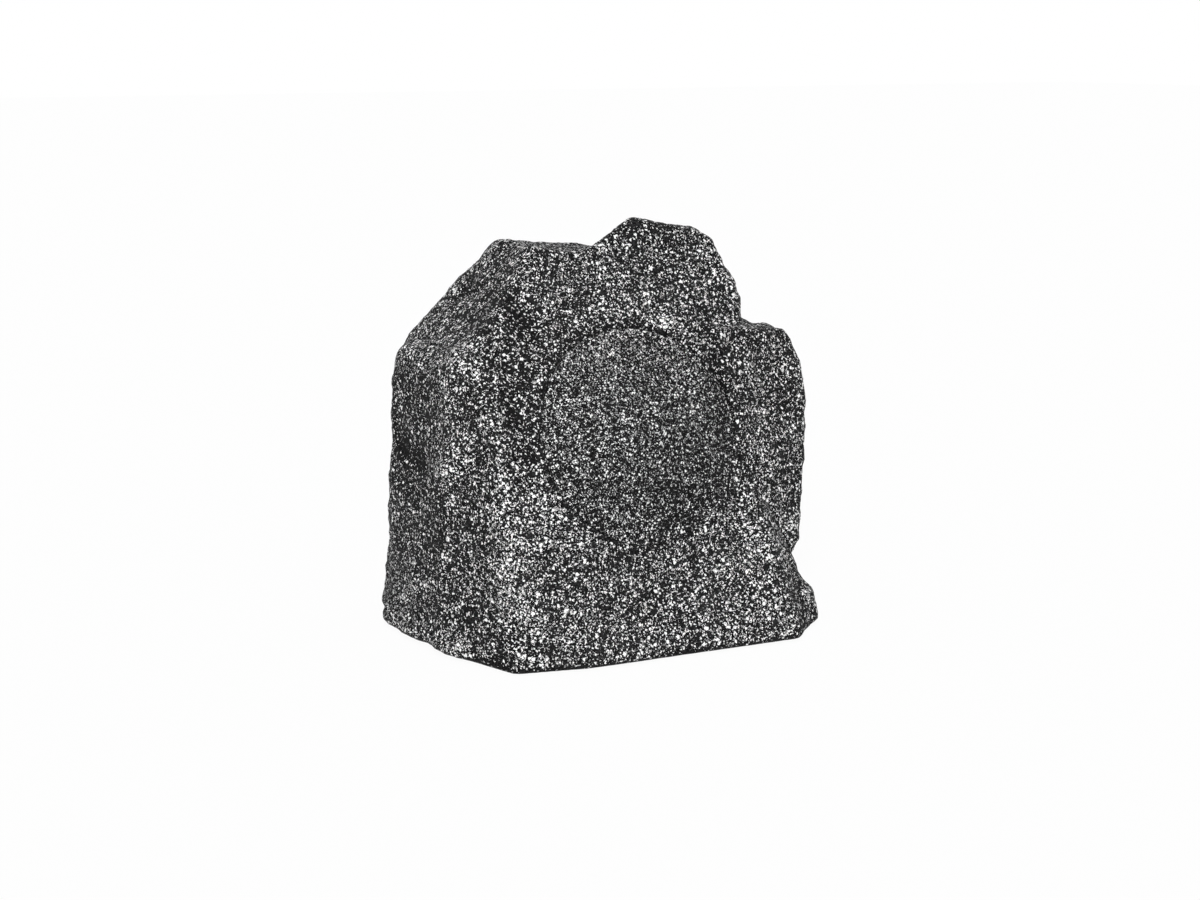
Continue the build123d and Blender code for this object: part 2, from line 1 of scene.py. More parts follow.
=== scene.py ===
import bmesh
import bpy
import json
from math import cos, hypot, pi, radians, sin, sqrt
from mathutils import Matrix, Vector, geometry, noise
from mathutils.bvhtree import BVHTree
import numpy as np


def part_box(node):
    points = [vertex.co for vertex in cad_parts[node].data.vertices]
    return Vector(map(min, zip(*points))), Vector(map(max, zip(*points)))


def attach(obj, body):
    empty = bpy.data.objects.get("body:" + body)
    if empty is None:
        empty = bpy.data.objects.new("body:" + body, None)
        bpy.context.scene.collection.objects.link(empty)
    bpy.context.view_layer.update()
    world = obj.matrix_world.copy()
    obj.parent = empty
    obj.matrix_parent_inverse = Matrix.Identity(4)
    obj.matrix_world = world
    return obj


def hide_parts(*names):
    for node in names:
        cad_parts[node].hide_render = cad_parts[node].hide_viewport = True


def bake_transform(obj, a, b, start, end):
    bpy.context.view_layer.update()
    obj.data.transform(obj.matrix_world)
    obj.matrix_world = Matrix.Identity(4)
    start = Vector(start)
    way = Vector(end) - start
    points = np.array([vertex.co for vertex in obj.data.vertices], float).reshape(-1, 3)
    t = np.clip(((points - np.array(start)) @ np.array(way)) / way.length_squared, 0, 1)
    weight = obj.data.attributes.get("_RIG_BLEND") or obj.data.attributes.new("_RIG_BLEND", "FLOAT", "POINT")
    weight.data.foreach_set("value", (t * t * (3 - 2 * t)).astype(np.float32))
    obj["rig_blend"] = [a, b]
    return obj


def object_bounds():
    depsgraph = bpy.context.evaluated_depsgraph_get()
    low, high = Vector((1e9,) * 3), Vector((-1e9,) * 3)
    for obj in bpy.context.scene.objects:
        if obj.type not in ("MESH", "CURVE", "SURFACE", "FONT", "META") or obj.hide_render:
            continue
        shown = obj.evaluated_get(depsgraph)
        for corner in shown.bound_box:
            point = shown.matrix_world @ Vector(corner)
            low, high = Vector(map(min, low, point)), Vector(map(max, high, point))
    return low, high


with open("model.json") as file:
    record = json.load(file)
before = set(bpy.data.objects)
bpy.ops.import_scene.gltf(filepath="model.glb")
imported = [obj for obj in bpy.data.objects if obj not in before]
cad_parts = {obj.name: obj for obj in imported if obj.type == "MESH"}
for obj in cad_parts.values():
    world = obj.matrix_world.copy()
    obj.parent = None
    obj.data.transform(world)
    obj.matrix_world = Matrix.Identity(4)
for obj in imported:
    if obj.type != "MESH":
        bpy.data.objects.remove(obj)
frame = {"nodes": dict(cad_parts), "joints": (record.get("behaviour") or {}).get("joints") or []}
cad_low, cad_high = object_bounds()

# Rock housing: one hollow casting in filled resin, taken from a chiselled boulder.
# Its skin carries the boulder's scars and splits, and a round well is sunk into the front for the
# grille. A dark coat is sprayed on, then white and grey paint is thrown over it in flecks.
mm = 0.001
weld_reach = 0.001 * mm
skin_step = 1.9 * mm
wear_passes = 8
wear_share = 0.5
stone_heart = Vector((0.0, 0.0, 130.0)) * mm
well_radius = 74.0 * mm
well_fade = 9.0 * mm
ground_fade = 5.0 * mm
gland_pad_radius = 12.0 * mm
gland_fade = 8.0 * mm
swell_size = 46.0 * mm
swell_height = 2.2 * mm
scar_size = 25.0 * mm
scar_depth = 2.6 * mm
scar_middle = 0.3
scar_twist = 0.45
scar_twist_scale = 0.7
scar_seed = 3
chip_size = 10.0 * mm
chip_depth = 1.2 * mm
grain_size = 4.2 * mm
grain_height = 0.6 * mm
skin_lift = 0.9 * mm
relief_shade_height = 4.0 * mm
flat_angle = 1.5
# Painted light and shade: the fleck paint lies thicker on faces turned to the front left and low down, and
# thinner on the flanks, round the grille's well and the cable gland, along the ground and inside.
recess_painted_shade = 0.72
lower_painted_light = 0.12
left_painted_shade = 0.4
left_shade_width = 3
right_painted_shade = 0.3
painted_light_way = Vector((-0.77, -0.63, 0.10))
least_painted_light = 0.88
most_painted_light = 1.34
painted_light_width = 6
# Strokes of the mould maker's tools: from one place to another, the reach to each side, and the
# height that is added or cut away, all in millimetres.
skin_strokes = {
    "proud corner of the plateau": ((-43, 57, 258), (-43, 52, 258), 15, 4.0),
    "nick in the left slope": ((-71, 58, 229), (-68, 40, 232), 12, -3.5),
    "proud left corner": ((-112, 62, 193), (-108, 40, 195), 16, 6.5),
    "hollow of the left side": ((-119, 60, 130), (-117, 25, 120), 20, -4.0),
    "crease over the left side": ((-121, 60, 110), (-119, 25, 100), 9, -2.5),
    "ridge of the left bevel": ((-99, -5, 196), (-112, -12, 128), 14, 4.0),
    "tail of the left ridge": ((-103, -26, 151), (-115, -5, 122), 10, 3.0),
    "crease above the grille": ((-57, -6, 230), (-56, -20, 208), 17, -3.5),
    "crease left of the grille": ((-77, -24, 197), (-66, -26, 186), 15, -4.0),
    "hollow left of the grille": ((-76, -36, 172), (-78, -54, 128), 15, -4.0),
    "ridge of the toe": ((-95, -58, 88), (-94, -66, 50), 13, 2.0),
    "split across the shoulder": ((108, -44, 153), (151, -36, 147), 2.6, -2.0),
    "split under the crown": ((84, -41, 197), (112, -36, 193), 2.6, -2.0),
    "bump on the crown": ((78, 6, 270), (84, 6, 268), 9, 2.0),
    "dip on the crown": ((58, 8, 275), (62, 8, 274), 8, -2.0),
    "proud flank of the crown": ((105, -16, 222), (103, -11, 236), 14, 5.0),
    "low root of the shoulder": ((112, 0, 205), (134, 13, 201), 18, -3.0),
    "proud edge of the shoulder": ((147, -32, 172), (148, -34, 156), 18, 3.5),
    "proud right flank": ((134, -52, 66), (133, -56, 52), 18, 3.0),
    "left heel": ((-129, 60, 8), (-116, -30, 8), 14, 4.0),
    "right heel": ((131, -84, 12), (131, -78, 20), 16, 5.0),
}


def welded(node):
    """The node's mesh with its split corners joined again."""
    form = bmesh.new()
    form.from_mesh(frame["nodes"][node].data)
    bmesh.ops.remove_doubles(form, verts=form.verts, dist=weld_reach)
    return form


def shaped_mesh(piece):
    """The piece's mesh once its modifiers have worked on it."""
    return bpy.data.meshes.new_from_object(piece.evaluated_get(bpy.context.evaluated_depsgraph_get()))


def placed(name, data):
    """Puts a mesh, a lamp or a camera into the scene under its name."""
    made = bpy.data.objects.new(name, data)
    bpy.context.scene.collection.objects.link(made)
    return made


def ease(value, reach):
    """Rises smoothly from nothing to one over the given reach."""
    share = min(max(value / reach, 0.0), 1.0)
    return share * share * (3.0 - 2.0 * share)


def scars(place, size):
    """Hollow scars left by struck-off flakes, with crests where they meet."""
    spot = place / size
    spot = spot + noise.noise_vector(spot * scar_twist_scale) * scar_twist
    return noise.voronoi(spot)[0][0] ** 2 - scar_middle


def stone_relief(place):
    """Height of the stone's skin over the chiselled facets."""
    relief = skin_lift + swell_height * noise.noise(place / swell_size)
    relief += scar_depth * scars(place, scar_size)
    relief += chip_depth * scars(place, chip_size)
    return relief + grain_height * noise.noise(place / grain_size)


def stroke_relief(place):
    """Height that the tool strokes add or cut away."""
    relief = 0.0
    for start, end, reach, height in skin_strokes.values():
        first = Vector(start) * mm
        run = Vector(end) * mm - first
        along = min(max((place - first).dot(run) / run.length_squared, 0.0), 1.0)
        aside = (place - first - run * along).length
        relief += height * mm * (1.0 - ease(aside, reach * mm))
    return relief


shell_form = welded("rock_shell")
shell_surface = BVHTree.FromBMesh(shell_form)
casting_mesh = bpy.data.meshes.new("casting")
shell_form.to_mesh(casting_mesh)
casting = placed("casting", casting_mesh)
even_skin = casting.modifiers.new("even_skin", "REMESH")
even_skin.mode = "VOXEL"
even_skin.voxel_size = skin_step
even_mesh = shaped_mesh(casting)
for vertex in even_mesh.vertices:
    vertex.co = shell_surface.find_nearest(vertex.co)[0]

driver_axis = Vector(frame["joints"][0]["axis"])
former_low, former_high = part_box("voice_coil_former")
driver_centre = (former_low + former_high) / 2
pad_low, pad_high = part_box("gland_washer")
pad_centre = (pad_low + pad_high) / 2


def skin_freedom(place, outward):
    """How far the casting's skin is free to depart from its plain form, from 0 to 1."""
    if outward.dot(place - stone_heart) <= 0:
        return 0.0
    freedom = ease(place.z, ground_fade)
    from_driver = place - driver_centre
    ahead = from_driver.dot(driver_axis)
    if ahead > 0:
        freedom *= ease((from_driver - driver_axis * ahead).length - well_radius, well_fade)
    if place.y > 0:
        from_pad = hypot(place.x - pad_centre.x, place.z - pad_centre.z)
        freedom *= ease(from_pad - gland_pad_radius, gland_fade)
    return freedom


freedoms = [skin_freedom(vertex.co, vertex.normal) for vertex in even_mesh.vertices]
casting.modifiers.clear()
casting.data = even_mesh
free_skin = casting.vertex_groups.new(name="free_skin")
for index, freedom in enumerate(freedoms):
    if freedom > 0:
        free_skin.add([index], freedom, "REPLACE")
worn_edges = casting.modifiers.new("worn_edges", "SMOOTH")
worn_edges.factor = wear_share
worn_edges.iterations = wear_passes
worn_edges.vertex_group = free_skin.name
stone_mesh = shaped_mesh(casting)
stone_mesh.name = "rock_housing"
bpy.data.objects.remove(casting)

# Without a seed the twist of the scars would follow the clock.
noise.seed_set(scar_seed)
outward_ways = [vertex.normal.copy() for vertex in stone_mesh.vertices]
relief_shades = []
for vertex, outward, freedom in zip(stone_mesh.vertices, outward_ways, freedoms):
    lift = 0.0
    if freedom > 0:
        lift = freedom * (stone_relief(vertex.co) + stroke_relief(vertex.co))
        vertex.co = vertex.co + outward * lift
    # Painted highlight and shade that follow the relief: raised places will take paler, thicker paint, and
    # hollows darker, thinner paint.
    relief_shades.append(min(max((lift - skin_lift) / relief_shade_height, -1.0), 1.0))
relief_shade_layer = stone_mesh.attributes.new("relief_shade", "FLOAT", "POINT")
relief_shade_layer.data.foreach_set("value", relief_shades)
# Painted light and shade: each point's amount of fleck paint, from how its face turns and how near it lies to
# the well, the gland and the ground.
light_spray_layer = stone_mesh.attributes.new("painted_light_spray", "FLOAT", "POINT")
light_sprays = []
stone_height = cad_high.z - cad_low.z
for vertex, outward, freedom in zip(stone_mesh.vertices, outward_ways, freedoms):
    light_share = 1.0 - left_painted_shade * max(-outward.x, 0.0) ** left_shade_width - right_painted_shade * max(outward.x, 0.0)
    lit = max(outward.dot(painted_light_way), 0.0) ** painted_light_width
    light_share *= least_painted_light + (most_painted_light - least_painted_light) * lit
    below_middle = 0.5 - vertex.co.z / stone_height
    light_share *= 1.0 + lower_painted_light * below_middle
    light_sprays.append(light_share * (recess_painted_shade + (1.0 - recess_painted_shade) * freedom))
light_spray_layer.data.foreach_set("value", light_sprays)

stone_form = bmesh.new()
stone_form.from_mesh(stone_mesh)
stone_form.verts.ensure_lookup_table()
plain_verts = [vert for vert, freedom in zip(stone_form.verts, freedoms) if freedom == 0]
plain_set = set(plain_verts)
plain_edges = [edge for edge in stone_form.edges if set(edge.verts) <= plain_set]
bmesh.ops.dissolve_limit(stone_form, angle_limit=radians(flat_angle), verts=plain_verts, edges=plain_edges)
bmesh.ops.triangulate(stone_form, faces=[face for face in stone_form.faces if len(face.verts) > 4])
stone_form.to_mesh(stone_mesh)
stone_mesh.shade_smooth()
rock_housing = placed("rock_housing", stone_mesh)


def put(tree, kind, values=None, **properties):
    """Adds a shader node, sets its properties, and sets or links each named input."""
    node = tree.nodes.new("ShaderNode" + kind)
    for name, value in properties.items():
        setattr(node, name, value)
    for socket, value in (values or {}).items():
        if isinstance(value, bpy.types.NodeSocket):
            tree.links.new(value, node.inputs[socket])
        else:
            node.inputs[socket].default_value = value
    return node


def reckon(tree, operation, *values, clamp=False):
    """One step of arithmetic on values that change over the surface."""
    return put(tree, "Math", dict(enumerate(values)), operation=operation, use_clamp=clamp).outputs[0]


def stretch(tree, value, low, high, least, most):
    """Carries a value over from one range to another."""
    limits = {"Value": value, "From Min": low, "From Max": high, "To Min": least, "To Max": most}
    return put(tree, "MapRange", limits).outputs[0]


def tint(tree, share, first, second):
    """A colour between two others."""
    return put(tree, "Mix", {"Factor": share, "A": first, "B": second}, data_type="RGBA").outputs["Result"]


def scaled(tree, parts, share):
    """A colour or a place with each of its parts multiplied by a share."""
    return put(tree, "VectorMath", {0: parts, "Scale": share}, operation="SCALE").outputs[0]


def along_way(tree, place, way):
    """How far a place lies along a way."""
    return put(tree, "VectorMath", {0: place, 1: way}, operation="DOT_PRODUCT").outputs["Value"]


def cloud(tree, place, scale, detail=2.0, output="Fac"):
    """Soft irregular patches of the given number to the metre."""
    return put(tree, "TexNoise", {"Vector": place, "Scale": scale, "Detail": detail}).outputs[output]


# Nearly all of a cloud lies in this span, round this middle.
cloud_span = (0.3, 0.7)
cloud_middle = 0.5


def surface_place(tree):
    """The place on the piece, in metres."""
    return put(tree, "TexCoord").outputs["Object"]


def new_group(name, **inputs):
    """A shader node group with its named inputs, and a colour, a roughness and a height to give out."""
    group = bpy.data.node_groups.new(name, "ShaderNodeTree")
    for socket, start in inputs.items():
        kind = "NodeSocketColor" if isinstance(start, tuple) else "NodeSocketFloat"
        made = group.interface.new_socket(socket.replace("_", " "), in_out="INPUT", socket_type=kind)
        made.default_value = start
    group.interface.new_socket("Color", in_out="OUTPUT", socket_type="NodeSocketColor")
    group.interface.new_socket("Roughness", in_out="OUTPUT", socket_type="NodeSocketFloat")
    group.interface.new_socket("Height", in_out="OUTPUT", socket_type="NodeSocketFloat")
    return group, group.nodes.new("NodeGroupInput").outputs


def give_out(group, colour, roughness, height):
    """Ends a shader node group."""
    result = group.nodes.new("NodeGroupOutput")
    group.links.new(colour, result.inputs["Color"])
    group.links.new(roughness, result.inputs["Roughness"])
    group.links.new(height, result.inputs["Height"])


def new_material(name, group, relief, group_values=None, **shader_values):
    """A material with one Principled shader, fed by a node group, with relief of a depth in metres."""
    material = bpy.data.materials.new(name)
    material.use_nodes = True
    tree = material.node_tree
    shader = tree.nodes["Principled BSDF"]
    for socket, value in shader_values.items():
        shader.inputs[socket.replace("_", " ")].default_value = value
    surface = put(tree, "Group", node_tree=group)
    for socket, value in (group_values or {}).items():
        surface.inputs[socket].default_value = value
    bump = put(tree, "Bump", {"Height": surface.outputs["Height"], "Distance": relief})
    tree.links.new(surface.outputs["Color"], shader.inputs["Base Color"])
    tree.links.new(surface.outputs["Roughness"], shader.inputs["Roughness"])
    tree.links.new(bump.outputs["Normal"], shader.inputs["Normal"])
    return material, surface


# Flecks of three sizes, each with the share of places that it takes. A fleck's own reach is a share
# of its size, and the tear is how far its edge is pulled about.
fleck_classes = ((2.5 * mm, 0.26), (1.65 * mm, 0.46), (1.1 * mm, 0.5))
least_reach = 0.23
reach_spread = 0.30
edge_sharpness = 26.0
fleck_height = 0.6
white_span = (0.08, 0.34)
tear_scale = 640.0
tear_reach = 3.0 * mm
patch_scale = 34.0
patch_span = (0.34, 0.66)
patch_paint = (0.92, 1.09)
grit_scale = 900.0
grit_span = (0.40, 0.66)
grit_tones = (0.1, 5.0)
paint_dullness = (0.6, 0.85)
relief_shade_gain = 0.42
# The flecks on the stone thin out just above the ground, as painted shade along the foot.
stone_paint_relief = 0.22 * mm
shaded_foot_paint = 0.1
full_paint = 0.88
shaded_foot_height = 1.5 * mm
foot_shade_top = 7.0 * mm


def fleck_layer(tree, place, size, share):
    """Flecks of one size: the mask of the flecks, and the mask with a tone to each."""
    cells = put(tree, "TexVoronoi", {"Vector": place, "Scale": 1 / size}, feature="F1")
    chance = put(tree, "SeparateColor", {"Color": cells.outputs["Color"]}).outputs
    reach = reckon(tree, "MULTIPLY_ADD", chance["Red"], reach_spread, least_reach)
    thrown = reckon(tree, "LESS_THAN", chance["Green"], share)
    edge = reckon(tree, "SUBTRACT", reach, cells.outputs["Distance"])
    mask = reckon(tree, "MULTIPLY", reckon(tree, "MULTIPLY", edge, edge_sharpness, clamp=True), thrown)
    return mask, reckon(tree, "MULTIPLY", mask, chance["Blue"])


fleck_paint, given = new_group(
    "thrown fleck paint",
    Coat_Color=(0.006, 0.006, 0.0062, 1.0),
    Grey_Fleck_Color=(0.25, 0.25, 0.25, 1.0),
    White_Fleck_Color=(0.95, 0.95, 0.95, 1.0),
    Amount=1.0,
    Crest=0.0,
    Fineness=1.0,
)
skin_place = surface_place(fleck_paint)
tear = cloud(fleck_paint, skin_place, tear_scale, output="Color")
tear = put(fleck_paint, "VectorMath", {0: tear, 1: (-cloud_middle,) * 3}, operation="ADD").outputs[0]
torn_place = put(
    fleck_paint, "VectorMath", {0: tear, 1: (tear_reach,) * 3, 2: skin_place}, operation="MULTIPLY_ADD"
).outputs[0]
torn_place = scaled(fleck_paint, torn_place, given["Fineness"])
patches = cloud(fleck_paint, skin_place, patch_scale, 3.0)
patches = stretch(fleck_paint, patches, *patch_span, *patch_paint)
# Painted highlight on raised places and painted shade in hollows: paint and coat grow paler with the relief's
# height.
relief_lighting = reckon(fleck_paint, "MULTIPLY_ADD", given["Crest"], relief_shade_gain, 1.0)
density = reckon(fleck_paint, "MULTIPLY", reckon(fleck_paint, "MULTIPLY", patches, relief_lighting), given["Amount"])
paint_mask = None
paint_tone = None
for fleck_size, fleck_share in fleck_classes:
    share = reckon(fleck_paint, "MULTIPLY", density, fleck_share)
    mask, tone = fleck_layer(fleck_paint, torn_place, fleck_size, share)
    paint_mask = mask if paint_mask is None else reckon(fleck_paint, "MAXIMUM", paint_mask, mask)
    paint_tone = tone if paint_tone is None else reckon(fleck_paint, "MAXIMUM", paint_tone, tone)
whiteness = stretch(fleck_paint, paint_tone, *white_span, 0.0, 1.0)
fleck_shade = tint(fleck_paint, whiteness, given["Grey Fleck Color"], given["White Fleck Color"])
grit = cloud(fleck_paint, skin_place, grit_scale, 3.0)
coat_tone = stretch(fleck_paint, grit, *grit_span, *grit_tones)
coat_tone = reckon(fleck_paint, "MULTIPLY", coat_tone, relief_lighting)
coat_shade = scaled(fleck_paint, given["Coat Color"], coat_tone)
give_out(
    fleck_paint,
    tint(fleck_paint, paint_mask, coat_shade, fleck_shade),
    stretch(fleck_paint, reckon(fleck_paint, "ADD", paint_mask, grit), 0.0, 2.0, *paint_dullness),
    reckon(fleck_paint, "MULTIPLY_ADD", paint_mask, fleck_height, grit),
)

stone_paint, paint = new_material("stone_paint", fleck_paint, stone_paint_relief, Specular_IOR_Level=0.05)
tree = stone_paint.node_tree
relief_shade = put(tree, "Attribute", attribute_name="relief_shade").outputs["Fac"]
above_ground = put(tree, "SeparateXYZ", {0: surface_place(tree)}).outputs["Z"]
painted_light_spray = put(tree, "Attribute", attribute_name="painted_light_spray").outputs["Fac"]
# Painted shade along the foot: the flecks thin out just above the ground.
foot_shade_cover = stretch(tree, above_ground, shaded_foot_height, foot_shade_top, shaded_foot_paint, full_paint)
lit_paint_amount = reckon(tree, "MULTIPLY", foot_shade_cover, painted_light_spray)
tree.links.new(relief_shade, paint.inputs["Crest"])
tree.links.new(lit_paint_amount, paint.inputs["Amount"])
stone_mesh.materials.clear()
stone_mesh.materials.append(stone_paint)
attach(rock_housing, "rock")
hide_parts("rock_shell")

# Woofer frame: a basket pressed from sheet steel and powder coated black, with windows that let the
# air out behind the cone. Its flange lies on a ring of soft sealing rubber on the baffle.
stain_scale = 45.0


def dress(node, material):
    """Gives a CAD piece its material."""
    mesh = frame["nodes"][node].data
    mesh.materials.clear()
    mesh.materials.append(material)


moulded_grain, given = new_group(
    "moulded grain", Body_Color=(0.03, 0.03, 0.03, 1.0), Dullness=0.5, Grain_Scale=900.0
)
place = surface_place(moulded_grain)
grain = cloud(moulded_grain, place, given["Grain Scale"], 3.0)
stains = cloud(moulded_grain, place, stain_scale)
shade = stretch(moulded_grain, stains, *cloud_span, 0.8, 1.15)
shade = reckon(moulded_grain, "MULTIPLY", shade, stretch(moulded_grain, grain, *cloud_span, 0.8, 1.2))
rubbed = stretch(moulded_grain, grain, *cloud_span, -0.08, 0.08)
give_out(
    moulded_grain,
    scaled(moulded_grain, given["Body Color"], shade),
    reckon(moulded_grain, "ADD", given["Dullness"], rubbed),
    grain,
)


def grainy(name, colour, dullness, grains, relief, **shader_values):
    """A material of one body colour, with a moulded or sprayed grain of so many to the metre."""
    values = {"Body Color": (*colour, 1.0), "Dullness": dullness, "Grain Scale": grains}
    return new_material(name, moulded_grain, relief, values, **shader_values)[0]


foam_rubber = grainy(
    "foam_rubber", (0.02, 0.02, 0.02), dullness=0.85, grains=1300.0, relief=0.12 * mm, Specular_IOR_Level=0.25
)
dress("woofer_gasket", foam_rubber)
basket_paint = grainy("basket_paint", (0.02, 0.02, 0.022), dullness=0.42, grains=1700.0, relief=0.04 * mm)
dress("woofer_basket", basket_paint)

# Motor: a ring of sintered ferrite between a bored top plate and a yoke that is back plate and pole
# in one, both turned from soft steel and zinc plated. The three are glued together and to the basket.
tool_line_scale = (90.0, 90.0, 1800.0)
smear_scale = 120.0

worked_metal, given = new_group("worked metal", Metal_Color=(0.6, 0.6, 0.6, 1.0), Dullness=0.3)
place = surface_place(worked_metal)
drawn = put(worked_metal, "VectorMath", {0: place, 1: tool_line_scale}, operation="MULTIPLY").outputs[0]
tool_lines = cloud(worked_metal, drawn, 1.0)
smears = cloud(worked_metal, place, smear_scale)
shade = stretch(worked_metal, tool_lines, *cloud_span, 0.82, 1.1)
shade = reckon(worked_metal, "MULTIPLY", shade, stretch(worked_metal, smears, *cloud_span, 0.82, 1.08))
give_out(
    worked_metal,
    scaled(worked_metal, given["Metal Color"], shade),
    reckon(worked_metal, "ADD", given["Dullness"], stretch(worked_metal, smears, *cloud_span, -0.06, 0.14)),
    tool_lines,
)


def metal(name, colour, dullness, relief):
    """A bare or plated metal with drawn tool lines and handling smears."""
    values = {"Metal Color": (*colour, 1.0), "Dullness": dullness}
    return new_material(name, worked_metal, relief, values, Metallic=1.0)[0]


plated_steel = metal("plated_steel", (0.60, 0.60, 0.58), dullness=0.34, relief=0.03 * mm)
for node in ("top_plate", "yoke"):
    dress(node, plated_steel)
ferrite = grainy("ferrite", (0.05, 0.05, 0.055), dullness=0.6, grains=650.0, relief=0.1 * mm)
dress("magnet", ferrite)

# Voice coil: enamelled copper wire wound in one layer on a former rolled from aluminium foil. The
# coil hangs in the gap of the motor and drives the cone.
wire_relief = 0.12 * mm
tarnish_scale = 140.0

wound_wire, given = new_group("wound wire", Wire_Color=(0.65, 0.30, 0.14, 1.0), Along=0.0, Turns=2600.0)
turn = reckon(wound_wire, "MULTIPLY", given["Along"], reckon(wound_wire, "MULTIPLY", given["Turns"], pi))
ridge = reckon(wound_wire, "ABSOLUTE", reckon(wound_wire, "SINE", turn))
tarnish = cloud(wound_wire, surface_place(wound_wire), tarnish_scale)
# Painted shade in the grooves between the turns: the wire's colour darkens where the turns meet.
shade = stretch(wound_wire, ridge, 0.0, 1.0, 0.35, 1.1)
shade = reckon(wound_wire, "MULTIPLY", shade, stretch(wound_wire, tarnish, *cloud_span, 0.8, 1.1))
give_out(
    wound_wire,
    scaled(wound_wire, given["Wire Color"], shade),
    stretch(wound_wire, ridge, 0.0, 1.0, 0.5, 0.28),
    ridge,
)


def winding(name, way, turns):
    """Wire wound on in turns that follow each other along one way, so many to the metre."""
    material, surface = new_material(name, wound_wire, wire_relief, {"Turns": turns}, Metallic=1.0)
    tree = material.node_tree
    tree.links.new(along_way(tree, surface_place(tree), way), surface.inputs["Along"])
    return material


dress("voice_coil_winding", winding("copper_wire", way=driver_axis, turns=2600.0))
former_foil = metal("former_foil", (0.75, 0.75, 0.76), dullness=0.3, relief=0.02 * mm)
dress("voice_coil_former", former_foil)

# Spider: a disc of cotton cloth, stiffened with resin and pressed into rings, glued to the basket's
# shelf and to the coil former. Its inner edge moves with the cone.
spider_inner_radius = 15.0 * mm
spider_outer_radius = 36.0 * mm
soak_scale = 110.0
across = Vector((1.0, 0.0, 0.0))
upward = driver_axis.cross(across)

thread_weave, given = new_group("thread weave", Thread_Color=(0.5, 0.5, 0.5, 1.0), Threads=1000.0)
place = surface_place(thread_weave)
strands = []
for way in (across, upward):
    along = along_way(thread_weave, place, way)
    turn = reckon(thread_weave, "MULTIPLY", along, reckon(thread_weave, "MULTIPLY", given["Threads"], pi))
    strands.append(reckon(thread_weave, "ABSOLUTE", reckon(thread_weave, "SINE", turn)))
weave = reckon(thread_weave, "MAXIMUM", *strands)
soaked = cloud(thread_weave, place, soak_scale)
# Painted shade between the threads: the cloth's colour darkens where the threads part.
shade = stretch(thread_weave, weave, 0.3, 1.0, 0.4, 1.1)
shade = reckon(thread_weave, "MULTIPLY", shade, stretch(thread_weave, soaked, *cloud_span, 0.8, 1.15))
give_out(
    thread_weave,
    scaled(thread_weave, given["Thread Color"], shade),
    stretch(thread_weave, weave, 0.0, 1.0, 0.95, 0.75),
    weave,
)


def woven(name, colour, threads, relief, **shader_values):
    """Cloth of one thread colour, with the given number of threads to the metre."""
    values = {"Thread Color": (*colour, 1.0), "Threads": threads}
    return new_material(name, thread_weave, relief, values, **shader_values)[0]


def suspension(name, node, inner, outer, material):
    """A ring that stands for a node: its inner edge follows the cone, its outer edge stays put."""
    form = welded(node)
    mesh = bpy.data.meshes.new(name)
    form.to_mesh(mesh)
    mesh.shade_smooth()
    mesh.materials.append(material)
    ring = placed(name, mesh)
    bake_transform(ring, "rock", "cone", tuple(driver_centre), tuple(driver_centre + driver_axis))
    shares = []
    for vertex in mesh.vertices:
        from_axis = vertex.co - driver_centre
        radius = (from_axis - driver_axis * from_axis.dot(driver_axis)).length
        shares.append(ease(outer - radius, outer - inner))
    mesh.attributes["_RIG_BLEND"].data.foreach_set("value", shares)
    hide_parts(node)


spider_cloth = woven(
    "spider_cloth", (0.62, 0.48, 0.22), threads=1100.0, relief=0.15 * mm, Specular_IOR_Level=0.3
)
suspension(
    "spider_disc", "spider", inner=spider_inner_radius, outer=spider_outer_radius,
    material=spider_cloth,
)

# Cone and surround: the cone is pressed from filled polypropylene, and a half roll of butyl rubber
# joins its rim to the basket's flange. The roll gives way as the cone travels.
roll_inner_radius = 47.8 * mm
roll_outer_radius = 55.8 * mm
cone_plastic = grainy("cone_plastic", (0.035, 0.035, 0.04), dullness=0.4, grains=420.0, relief=0.1 * mm)
dress("woofer_cone", cone_plastic)
surround_rubber = grainy(
    "surround_rubber", (0.015, 0.015, 0.016), dullness=0.55, grains=1500.0, relief=0.04 * mm
)
suspension(
    "surround_roll", "woofer_surround", inner=roll_inner_radius, outer=roll_outer_radius,
    material=surround_rubber,
)

# Terminals and screws of the woofer: a strip of brown paper board with two tinned tags, and six
# stainless screws through the flange.
phenolic = grainy("phenolic", (0.22, 0.10, 0.04), dullness=0.5, grains=800.0, relief=0.05 * mm)
dress("terminal_strip", phenolic)
tag_brass = metal("tag_brass", (0.70, 0.55, 0.25), dullness=0.25, relief=0.03 * mm)
dress("terminal_tags", tag_brass)
screw_steel = metal("screw_steel", (0.55, 0.55, 0.56), dullness=0.28, relief=0.03 * mm)
dress("woofer_screws", screw_steel)

# Tweeter: a coated silk dome over a plated magnet in a steel cup, in a small black housing that a
# post carries in front of the woofer's pole. A bolt runs through pole and post to a nut in the housing.
tweeter_plastic = grainy(
    "tweeter_plastic", (0.02, 0.02, 0.02), dullness=0.45, grains=1400.0, relief=0.05 * mm
)
for node in ("tweeter_post", "tweeter_housing", "tweeter_face_ring"):
    dress(node, tweeter_plastic)
for node in ("tweeter_bolt", "tweeter_nut"):
    dress(node, screw_steel)
for node in ("tweeter_cup", "tweeter_plate"):
    dress(node, plated_steel)
tweeter_magnet_plating = metal("tweeter_magnet_plating", (0.70, 0.70, 0.68), dullness=0.12, relief=0.01 * mm)
dress("tweeter_magnet", tweeter_magnet_plating)
dome_silk = woven("dome_silk", (0.04, 0.035, 0.03), threads=3200.0, relief=0.04 * mm, Coat_Weight=0.3)
dress("tweeter_dome", dome_silk)

